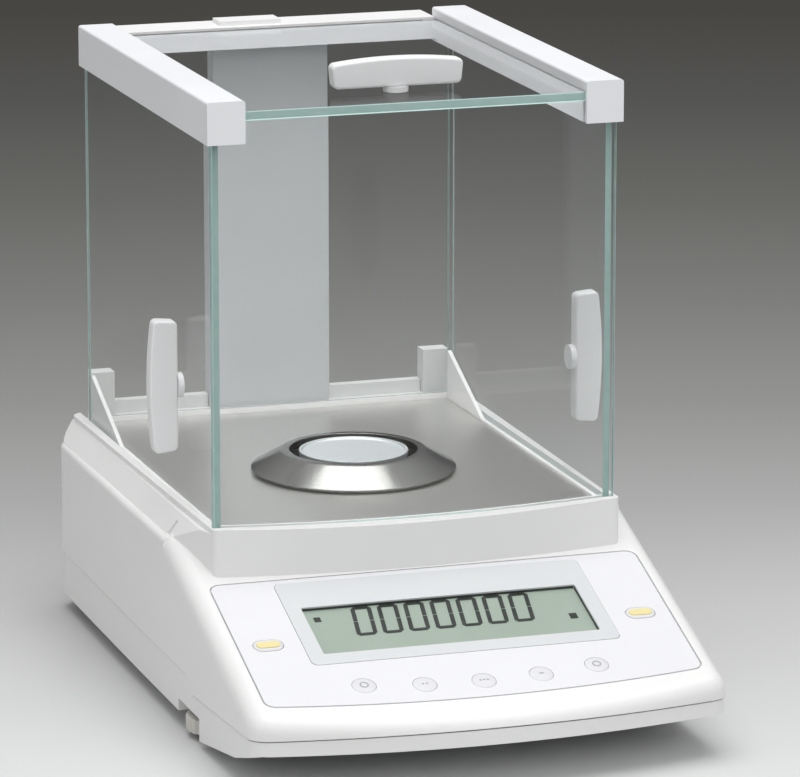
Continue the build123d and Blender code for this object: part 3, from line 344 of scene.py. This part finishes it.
dress(white_abs, "lcd_backlight")

# The panel lies square to the way its keys are pressed
FACE_DEPTH = 0.1 * MM           # what lies this close to the top of a node is its outer face
out = -Vector(next(j["axis"] for j in frame["joints"] if j["name"] == "key_middle_press")).normalized()
panel = Matrix(((1, 0, 0), out.cross((1, 0, 0)), out)).transposed().to_4x4()


def face_of(node):
    """Lowest and highest corner of the outermost face of a node on the panel, in the panel's own axes."""
    points = [panel.inverted() @ vert.co for vert in frame["nodes"][node].data.vertices]
    top = max(point.z for point in points)
    points = [point for point in points if point.z > top - FACE_DEPTH]
    return [Vector([pick(point[axis] for point in points) for axis in range(3)]) for pick in (min, max)]


# The border is a thin black wall round the cell, put in as painted shade: it draws the dark line inside the
# window that the frame's shadow makes
CELL_MARGIN = 4.0 * MM          # the cell reaches this far under the frame
BORDER_RISE = 1.0 * MM
BORDER_WALL = 0.25 * MM
low, high = face_of("lcd_glass")
near, far = low.y + CELL_MARGIN, high.y - CELL_MARGIN
left, right = low.x + CELL_MARGIN, high.x - CELL_MARGIN
# Black border of painted shade: dark grey with a greenish cast, matte, standing in for the frame's shadow on
# the cell
shade_border = moulded_plastic("black painted-shade border", "#3C403C", "#333733", 0.5)
form = bmesh.new()
sheet = form.faces.new([form.verts.new((x, y, low.z))
                        for x, y in ((left, near), (right, near), (right, far), (left, far))])
form.normal_update()
bmesh.ops.inset_region(form, faces=[sheet], use_boundary=True, thickness=BORDER_WALL, use_even_offset=True)
bmesh.ops.delete(form, geom=[sheet], context="FACES_ONLY")
lift(form, form.faces[:], BORDER_RISE)
bmesh.ops.recalc_face_normals(form, faces=form.faces)
bmesh.ops.transform(form, matrix=panel, verts=form.verts)
piece("window_shade_border", form, [shade_border], "balance", weighted=False)

# Figures of the cell: seven noughts of dark segments with chamfered corners, and a marker at each end
DIGITS = 7
DIGIT_FIRST = -36.8 * MM
DIGIT_PITCH = 11.8 * MM
DIGIT_WIDTH = 9.2 * MM
DIGIT_HEIGHT = 21.2 * MM
DIGIT_RAISE = 1.1 * MM          # the noughts stand this much higher than the markers' row
DIGIT_SLANT = math.radians(8)
STROKE = 1.9 * MM
CHAMFER = 1.5 * MM
SPLIT = 0.5 * MM
INK_THICK = 0.05 * MM
# Liquid-crystal segment: greenish black, as dark as the cell's contrast allows
segment_ink = moulded_plastic("liquid-crystal segment", "#1F2620", "#191F1B", 0.4)
figure_low, figure_high = face_of("lcd_segments")
digit_middle = (figure_low.y + figure_high.y) / 2 + DIGIT_RAISE
half_width, half_height = DIGIT_WIDTH / 2, DIGIT_HEIGHT / 2
# The upper half of a nought is an arch, and the lower half is the same arch turned over
arch = [(-half_width, SPLIT / 2), (-half_width, half_height - CHAMFER), (-half_width + CHAMFER, half_height),
        (half_width - CHAMFER, half_height), (half_width, half_height - CHAMFER), (half_width, SPLIT / 2),
        (half_width - STROKE, SPLIT / 2), (half_width - STROKE, half_height - STROKE),
        (-half_width + STROKE, half_height - STROKE), (-half_width + STROKE, SPLIT / 2)]
form = bmesh.new()
for i in range(DIGITS):
    for end in (1, -1):
        corners = [form.verts.new((DIGIT_FIRST + i * DIGIT_PITCH + x + end * y * math.tan(DIGIT_SLANT),
                                   digit_middle + end * y, figure_low.z)) for x, y in arch]
        for stroke in ((0, 1, 8, 9), (1, 2, 3, 8), (3, 4, 7, 8), (4, 5, 6, 7)):
            form.faces.new([corners[k] for k in stroke])
# The markers are those of the CAD node: a copy of it, without its own noughts
markers = bmesh.new()
markers.from_mesh(frame["nodes"]["lcd_segments"].data)
bmesh.ops.transform(markers, matrix=panel.inverted(), verts=markers.verts)
first, last = DIGIT_FIRST - DIGIT_WIDTH, DIGIT_FIRST + DIGITS * DIGIT_PITCH
bmesh.ops.delete(markers, geom=[v for v in markers.verts if first < v.co.x < last], context="VERTS")
marker_mesh = bpy.data.meshes.new("end markers")
markers.to_mesh(marker_mesh)
markers.free()
lift(form, form.faces[:], INK_THICK)
form.from_mesh(marker_mesh)
bmesh.ops.remove_doubles(form, verts=form.verts, dist=MERGE)
bmesh.ops.recalc_face_normals(form, faces=form.faces)
bmesh.ops.transform(form, matrix=panel, verts=form.verts)
piece("display_figures", form, [segment_ink], "balance", ["lcd_segments"],
      weighted=False)

# Keys. Domed silicone caps under the film, each moulded with a stem down to its switch: five
# round ones in a bow, with grey printed marks, and a wide one with a yellow bar at each side.
CAP_THICK = 1.2 * MM
KEY_DEEP = 3.9 * MM
STEM_INSET = 1.6 * MM
KEY_GROWTH = 0.12 * MM        # the film is stretched over a cap, so its rim hides part of the gap
DOME_FALL = 0.45 * MM
DOME = ((0.0, 0.0), (0.5, 0.08), (0.75, 0.3), (0.92, 0.65), (1.0, 1.2))     # shares of radius and fall
MARK_THICK = 0.06 * MM
RING_MARK = (1.35 * MM, 2.0 * MM)         # its inner and outer radius
RING_MARK_SINK = 0.02 * MM
DOT_MARK = (1.1 * MM, 0.9 * MM)           # its length and width
BAR_MARK = (2.2 * MM, 0.9 * MM)
DOT_MARK_SINK = 0.03 * MM
WIDE_CAP_TOP = -0.12 * MM
YELLOW_BAR = (10.6 * MM, 4.4 * MM)
YELLOW_BAR_SINK = 0.3 * MM
YELLOW_BAR_RISE = 0.35 * MM
EDGE_SHARE = 0.7              # how much of a bar's height its soft edge takes
# Silicone key: the film's tone, a little greyer where it is stretched
key_film = moulded_plastic("silicone key", "#DCDCE0", "#D7D7DB", 0.42, grain_mm=0.5, grain_depth_mm=0.01)
# Grey printed mark: mid grey ink, flat and quiet
mark_print = moulded_plastic("grey printed mark", "#A8A8AC", "#9E9EA2", 0.45)
# Yellow moulded key: a pale, slightly dusty yellow
yellow_key = moulded_plastic("yellow moulded key", "#EADCA0", "#E5D696", 0.4, grain_mm=0.5,
                             grain_depth_mm=0.01)


def raised_bar(form, size, low_z, high_z, finish, place=Matrix.Identity(4)):
    """A bar with round ends and a soft upper edge, added to a key's own form."""
    length, width = size
    known = set(form.verts)
    rim = bmesh.ops.create_circle(form, cap_ends=True, radius=width / 2, segments=40)["verts"]
    for vert in rim:
        if abs(vert.co.x) > TINY:
            vert.co.x += math.copysign((length - width) / 2, vert.co.x)
        vert.co.z = low_z
    top = lift(form, [f for f in form.faces if all(v not in known for v in f.verts)], high_z - low_z)
    edge = [e for e in form.edges if all(v in top for v in e.verts)]
    bmesh.ops.bevel(form, geom=edge, offset=(high_z - low_z) * EDGE_SHARE, segments=4, profile=0.5,
                    affect="EDGES", material=-1)
    bmesh.ops.transform(form, matrix=place, verts=[v for v in form.verts if v not in known])
    for face in form.faces:
        if all(v not in known for v in face.verts):
            face.material_index = finish


# Where the dots of two keys and the bar of a third stand; the other two carry a ring
MARK_PLACES = {"key_left": (-0.9 * MM, 0.9 * MM), "key_middle": (-1.6 * MM, 0.0, 1.6 * MM),
               "key_right": (0.0,)}
for name in ("key_far_left", "key_left", "key_middle", "key_right", "key_far_right"):
    low, high = face_of(name)
    radius = (high.x - low.x) / 2 + KEY_GROWTH
    stem = radius - STEM_INSET
    form = turned([(radius * along, -DOME_FALL * fall) for along, fall in DOME]
                  + [(radius, -CAP_THICK), (stem, -CAP_THICK), (stem, -KEY_DEEP), (0, -KEY_DEEP)],
                  Matrix.Identity(4), steps=64)
    if name in MARK_PLACES:
        marks = bmesh.new()
        for shift in MARK_PLACES[name]:
            raised_bar(marks, BAR_MARK if name == "key_right" else DOT_MARK, -DOT_MARK_SINK, MARK_THICK, 1,
                       Matrix.Translation((shift, 0, 0)))
    else:
        inner, outer = RING_MARK
        marks = turned([(inner, 0), (outer, -RING_MARK_SINK), (outer, MARK_THICK), (inner, MARK_THICK)],
                       Matrix.Identity(4), steps=48, closed=True)
    for face in marks.faces:
        face.material_index = 1
    print_mesh = bpy.data.meshes.new(name + " marks")
    marks.to_mesh(print_mesh)
    marks.free()
    form.from_mesh(print_mesh)
    spot = panel @ Matrix.Translation(((low.x + high.x) / 2, (low.y + high.y) / 2, high.z))
    bmesh.ops.transform(form, matrix=spot, verts=form.verts)
    piece(name + "_cap", form, [key_film, mark_print], name + "_body", [name])

for name in ("tare_key_left", "tare_key_right"):
    low, high = face_of(name)
    cap = high.x - low.x + 2 * KEY_GROWTH, high.y - low.y + 2 * KEY_GROWTH
    form = bmesh.new()
    raised_bar(form, [side - 2 * STEM_INSET for side in cap], -KEY_DEEP, -CAP_THICK, 0)
    raised_bar(form, cap, -CAP_THICK, WIDE_CAP_TOP, 0)
    raised_bar(form, YELLOW_BAR, -YELLOW_BAR_SINK, YELLOW_BAR_RISE, 1)
    bmesh.ops.recalc_face_normals(form, faces=form.faces)
    spot = panel @ Matrix.Translation(((low.x + high.x) / 2, (low.y + high.y) / 2, high.z))
    bmesh.ops.transform(form, matrix=spot, verts=form.verts)
    piece(name + "_cap", form, [key_film, yellow_key], name + "_body", [name])

# Chamber floor. A plate of stainless sheet with the pan's hole in its middle, laid in the
# tray. Its upper side is brushed from left to right.

# Brushed stainless steel: pale warm grey, streaked along the brushing
brushed_plate = machined_metal("brushed stainless steel", "#E9E8E5", "#DFDEDB", 0.35, 0.5,
                               across=(0.03, 1.0, 1.0))
dress(brushed_plate, "floor_plate")

# Draught ring and pan. The ring is spun from stainless sheet and polished, and only lies
# on the floor plate. The pan is turned, and its stem stands in the mechanism's socket.
RING_WALL = 1.2 * MM
RING_OPENING = 28.7 * MM
RING_CROWN = 31.5 * MM
RING_FOOT = 2.0 * MM
RING_LIP = 2.6 * MM
RING_UNDERCUT = 1.6 * MM     # the rim is rolled in, so that its foot lies in shade
CROWN_BEND = (1.5 * MM, 0.5 * MM)        # how far the crown's bend reaches out and down
CROWN_SHIFT = 0.3 * MM                   # the inner side of the sheet bends this much sooner
RING_SOFTNESS = 0.2 * MM
PAN_RIM = 1.2 * MM
PAN_RIM_DRAFT = 0.1 * MM
PAN_COVE = 0.5 * MM
PAN_HOLLOW = 0.8 * MM
PAN_THICK = 2.0 * MM
PAN_SOFTNESS = 0.15 * MM
HUB_RADIUS = 6.0 * MM
HUB_DROP = 10.8 * MM
PAN_STEM = 3.0 * MM


def spun_steel(name, light, dark, roughness, centre_y, pitch_mm):
    """Stainless steel off a lathe: fine rings round the middle, left by the tool and the polishing cloth."""
    material, tree, shader = blank(name)
    place = add(tree, "ShaderNodeTexCoord")
    about = add(tree, "ShaderNodeMapping", {"Vector": place.outputs["Object"], "Location": (0, -centre_y, 0)})
    flat = add(tree, "ShaderNodeVectorMath", {0: about.outputs["Vector"], 1: (1, 1, 0)}, operation="MULTIPLY")
    radius = add(tree, "ShaderNodeVectorMath", {0: flat.outputs["Vector"]}, operation="LENGTH")
    split = add(tree, "ShaderNodeSeparateXYZ", {"Vector": about.outputs["Vector"]})
    rings = add(tree, "ShaderNodeCombineXYZ", {"X": radius.outputs["Value"], "Z": split.outputs["Z"]})
    # Real turning marks are about 0.1 mm apart: they are drawn wider so that they show
    marks = add(tree, "ShaderNodeTexNoise", {"Vector": rings.outputs["Vector"], "Scale": 1 / (pitch_mm * MM),
                                             "Detail": 2.0})
    tone = add(tree, "ShaderNodeMix", {"Factor": marks.outputs["Fac"], "A": linear(dark), "B": linear(light)},
               data_type="RGBA")
    tree.links.new(tone.outputs["Result"], shader.inputs["Base Color"])
    relief = add(tree, "ShaderNodeBump", {"Height": marks.outputs["Fac"], "Strength": 0.2,
                                          "Distance": 0.006 * MM})
    tree.links.new(relief.outputs["Normal"], shader.inputs["Normal"])
    shader.inputs["Metallic"].default_value = 1.0
    shader.inputs["Roughness"].default_value = roughness
    return material


low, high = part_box("shield_ring")
middle = (low + high) / 2
rim = (high.x - low.x) / 2
upright = Matrix.Translation((middle.x, middle.y, 0))
# Polished spun steel: dark and bright in long smears, as it mirrors the room
ring_steel = spun_steel("polished spun steel", "#ABABA8", "#9F9F9C", 0.21, middle.y, 0.5)
bend_out, bend_down = CROWN_BEND
inner_rim = rim - RING_WALL - RING_UNDERCUT
inner_lip = RING_OPENING + RING_WALL
ring = turned([(rim - RING_UNDERCUT, low.z), (rim, low.z + RING_FOOT),
               (RING_CROWN + bend_out, high.z - bend_down), (RING_CROWN, high.z),
               (RING_OPENING, high.z), (RING_OPENING, high.z - RING_LIP),
               (inner_lip, high.z - RING_LIP), (inner_lip, high.z - RING_WALL),
               (RING_CROWN - CROWN_SHIFT, high.z - RING_WALL),
               (inner_rim, low.z + RING_FOOT - RING_WALL / 2), (inner_rim, low.z)],
              upright, steps=160, closed=True, soften=RING_SOFTNESS)
piece("draught_shield_ring", ring, [ring_steel], "draught_ring", ["shield_ring"])

low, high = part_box("weighing_pan")
rim = (high.x - low.x) / 2
# Satin turned steel: paler and duller than the ring
pan_steel = spun_steel("satin turned steel", "#DEE2E3", "#D4D9DA", 0.55, middle.y, 0.4)
inside = rim - PAN_RIM
pan = turned([(0, high.z - PAN_HOLLOW), (inside - PAN_COVE, high.z - PAN_HOLLOW),
              (inside, high.z - PAN_HOLLOW / 2), (inside + PAN_RIM_DRAFT, high.z), (rim, high.z),
              (rim, high.z - PAN_THICK), (HUB_RADIUS, high.z - PAN_THICK), (HUB_RADIUS, high.z - HUB_DROP),
              (PAN_STEM, high.z - HUB_DROP), (PAN_STEM, low.z), (0, low.z)],
             upright, steps=128, soften=PAN_SOFTNESS)
piece("turned_pan", pan, [pan_steel], "pan", ["weighing_pan"])

# Rails, beam and column. Aluminium extrusions, sawn to length and stove-enamelled, screwed
# together round the top of the chamber. The column's back cover and the strip at the rear
# of the top door are ABS.

# Light grey stove enamel: almost white, smooth, with a soft shine
painted = moulded_plastic("light grey stove enamel", "#EFF0F3", "#EAEBEE", 0.36, grain_mm=1.2)
# Pale grey stove enamel: one shade deeper than the rails, and matte
column_paint = moulded_plastic("pale grey stove enamel", "#DFE1E3", "#D9DBDD", 0.55, grain_mm=1.2)
dress(painted, "right_top_rail", "left_top_rail", "rear_top_beam")
dress(column_paint, "rear_column")
dress(white_abs, "column_back_cover", "top_door_end_strip")

# Panes. Float glass with ground and polished edges, arrised at the corners. The front and
# rear ones are cemented in, and those of the three doors slide in grooves.
ARRIS = 0.3 * MM
PANE_GAP = 0.05 * MM         # keeps a pane's faces clear of what is cemented to it
CALM = 0.75                  # the share of the mirroring that is left out
FLOAT_IOR = 1.5


def see_through(tree, surface):
    """Lets light through a glass to what stands behind it, as a thin clear pane does."""
    path = add(tree, "ShaderNodeLightPath")
    passing = add(tree, "ShaderNodeBsdfTransparent")
    blend = add(tree, "ShaderNodeMixShader", {0: path.outputs["Is Shadow Ray"], 1: surface,
                                              2: passing.outputs["BSDF"]})
    tree.links.new(blend.outputs["Shader"], tree.nodes["Material Output"].inputs["Surface"])


# Float glass: clear, with only a weak mirror on its faces and the faintest drift in its tint
clear_glass, tree, shader = blank("float glass")
place = add(tree, "ShaderNodeTexCoord")
drift = add(tree, "ShaderNodeTexNoise", {"Vector": place.outputs["Object"], "Scale": 1 / (60 * MM)})
tone = add(tree, "ShaderNodeMix", {"Factor": drift.outputs["Fac"], "A": linear("#FCFDFD"),
                                   "B": linear("#FEFEFE")}, data_type="RGBA")
tree.links.new(tone.outputs["Result"], shader.inputs["Base Color"])
shader.inputs["Roughness"].default_value = 0.0
shader.inputs["IOR"].default_value = FLOAT_IOR
shader.inputs["Transmission Weight"].default_value = 1.0
# The faces mirror less than bare glass would, as in light that a filter has calmed
calm = add(tree, "ShaderNodeBsdfRefraction", {"Color": tone.outputs["Result"], "Roughness": 0.0,
                                              "IOR": FLOAT_IOR})
mixed = add(tree, "ShaderNodeMixShader", {0: CALM, 1: shader.outputs["BSDF"], 2: calm.outputs["BSDF"]})
see_through(tree, mixed.outputs["Shader"])

# Polished glass edge: the iron in the glass shows as a pale sea green down its length
glass_edge, tree, shader = blank("polished glass edge")
place = add(tree, "ShaderNodeTexCoord")
ripple = add(tree, "ShaderNodeTexNoise", {"Vector": place.outputs["Object"], "Scale": 1 / (8 * MM),
                                          "Detail": 2.0})
tone = add(tree, "ShaderNodeMix", {"Factor": ripple.outputs["Fac"], "A": linear("#B4D8D2"),
                                   "B": linear("#CBE8E3")}, data_type="RGBA")
tree.links.new(tone.outputs["Result"], shader.inputs["Base Color"])
shader.inputs["Roughness"].default_value = 0.25
shader.inputs["IOR"].default_value = FLOAT_IOR
shader.inputs["Transmission Weight"].default_value = 0.35
see_through(tree, shader.outputs["BSDF"])


def pane(name, node, thin_axis, body):
    """A pane of float glass where its CAD node is: clear faces, green edges."""
    low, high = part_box(node)
    form = bmesh.new()
    bmesh.ops.create_cube(form, size=1.0, matrix=Matrix.Translation((low + high) / 2)
                          @ Matrix.Diagonal((*(side - 2 * PANE_GAP for side in high - low), 1.0)))
    bmesh.ops.bevel(form, geom=form.edges[:], offset=ARRIS, segments=1, profile=0.5, affect="EDGES",
                    material=-1)
    for face in form.faces:
        face.material_index = 0 if abs(face.normal[thin_axis]) > 0.9 else 1
    piece(name, form, [clear_glass, glass_edge], body, [node], weighted=False)


pane("front_pane", "front_glass", 1, "balance")
pane("rear_pane", "rear_glass", 1, "balance")
pane("right_door_pane", "right_door_glass", 0, "right_door")
pane("left_door_pane", "left_door_glass", 0, "left_door")
pane("top_door_pane", "top_door_glass", 2, "top_door")

# Door handles. One bowed bar of moulded ABS to a door, on a short round post that is
# cemented to the outer face of the glass.

# Light grey moulded ABS: near white and satin, so that it stands out against the glass
handle_abs = moulded_plastic("light grey moulded ABS", "#EFEFF0", "#E9E9EA", 0.4)
dress(handle_abs, "right_door_handle", "left_door_handle", "top_door_handle")

# Stage, which is no part of the balance. A floor of seamless paper, painted pale in front and
# darker behind as painted shade for the light's fall-off, one large soft lamp overhead, a weak one in front,
# and the camera.
FLOOR_REACH = 12.0           # metres from its middle to each side
LOOK_TURN = 0.3158           # radians that the camera looks to the right
LOOK_DOWN = 0.2294           # and down
floor_form = bmesh.new()
bmesh.ops.create_grid(floor_form, x_segments=2, y_segments=2, size=FLOOR_REACH)
floor_mesh = bpy.data.meshes.new("studio floor")
floor_form.to_mesh(floor_mesh)
floor_form.free()
floor = bpy.data.objects.new("studio_floor", floor_mesh)
bpy.context.scene.collection.objects.link(floor)

# Seamless paper: matte, its colour painted darker to the rear as painted shade, standing in for the light
# that falls off behind.
# Each tone is given with its distance in metres behind the middle of the balance
PAINTED_FALL_OFF = [(-0.14, "#D4D5D5"), (0.13, "#BDBDBD"), (0.32, "#A2A2A2"), (0.54, "#8C8C8A"),
            (0.80, "#7A7A78"), (1.10, "#696966"), (1.46, "#585856"), (1.85, "#4D4B47")]
nearest, farthest = PAINTED_FALL_OFF[0][0], PAINTED_FALL_OFF[-1][0]
paper, tree, shader = blank("seamless paper")
place = add(tree, "ShaderNodeTexCoord")
turn = add(tree, "ShaderNodeMapping", {"Vector": place.outputs["Object"], "Rotation": (0.0, 0.0, LOOK_TURN)})
split = add(tree, "ShaderNodeSeparateXYZ", {"Vector": turn.outputs["Vector"]})
depth = add(tree, "ShaderNodeMapRange", {"Value": split.outputs["Y"], "From Min": nearest,
                                         "From Max": farthest})
shade = add(tree, "ShaderNodeValToRGB", {"Fac": depth.outputs["Result"]})
ramp = shade.color_ramp
ramp.elements[0].color, ramp.elements[1].color = linear(PAINTED_FALL_OFF[0][1]), linear(PAINTED_FALL_OFF[-1][1])
for distance, code in PAINTED_FALL_OFF[1:-1]:
    ramp.elements.new((distance - nearest) / (farthest - nearest)).color = linear(code)
tree.links.new(shade.outputs["Color"], shader.inputs["Base Color"])
shader.inputs["Roughness"].default_value = 0.9
shader.inputs["Specular IOR Level"].default_value = 0.1
floor.data.materials.append(paper)

# Light of the room: bright above, less so in front and to the left, dark behind
world = bpy.data.worlds.new("studio")
bpy.context.scene.world = world
world.use_nodes = True
tree = world.node_tree
sky = tree.nodes["Background"]
place = add(tree, "ShaderNodeTexCoord")
lean = add(tree, "ShaderNodeVectorMath", {0: place.outputs["Generated"], 1: (-0.12, -0.3, 0.85)},
           operation="DOT_PRODUCT")
rise = add(tree, "ShaderNodeMapRange", {"Value": lean.outputs["Value"], "From Min": -0.22, "From Max": 0.95,
                                        "To Min": 0.08, "To Max": 0.95})
tree.links.new(rise.outputs["Result"], sky.inputs["Color"])
sky.inputs["Strength"].default_value = 0.95


def softbox(name, place, aim, width, height, watts):
    """A rectangular soft lamp that looks from its place at a point."""
    light = bpy.data.lights.new(name, "AREA")
    light.shape = "RECTANGLE"
    light.size = width
    light.size_y = height
    light.energy = watts
    lamp = bpy.data.objects.new(name, light)
    lamp.location = place
    lamp.rotation_euler = (Vector(aim) - Vector(place)).to_track_quat("-Z", "Y").to_euler()
    bpy.context.scene.collection.objects.link(lamp)


softbox("overhead_softbox", place=(0.02, -0.02, 1.6), aim=(0.0, 0.0, 0.0), width=1.5, height=1.5, watts=17.5)
softbox("front_softbox", place=(0.6, -2.2, 1.3), aim=(0.0, 0.0, 0.1), width=3.2, height=0.9, watts=5.5)

lens = bpy.data.cameras.new("camera")
lens.lens = 247.5
lens.sensor_width = 36.0
lens.sensor_fit = "HORIZONTAL"
lens.clip_start = 0.1
lens.clip_end = 50.0
camera = bpy.data.objects.new("camera", lens)
camera.location = (-0.72233, -2.24161, 0.68282)
camera.rotation_euler = (math.pi / 2 - LOOK_DOWN, 0.0, -LOOK_TURN)
bpy.context.scene.collection.objects.link(camera)
bpy.context.scene.camera = camera
bpy.context.scene.view_settings.view_transform = "Standard"
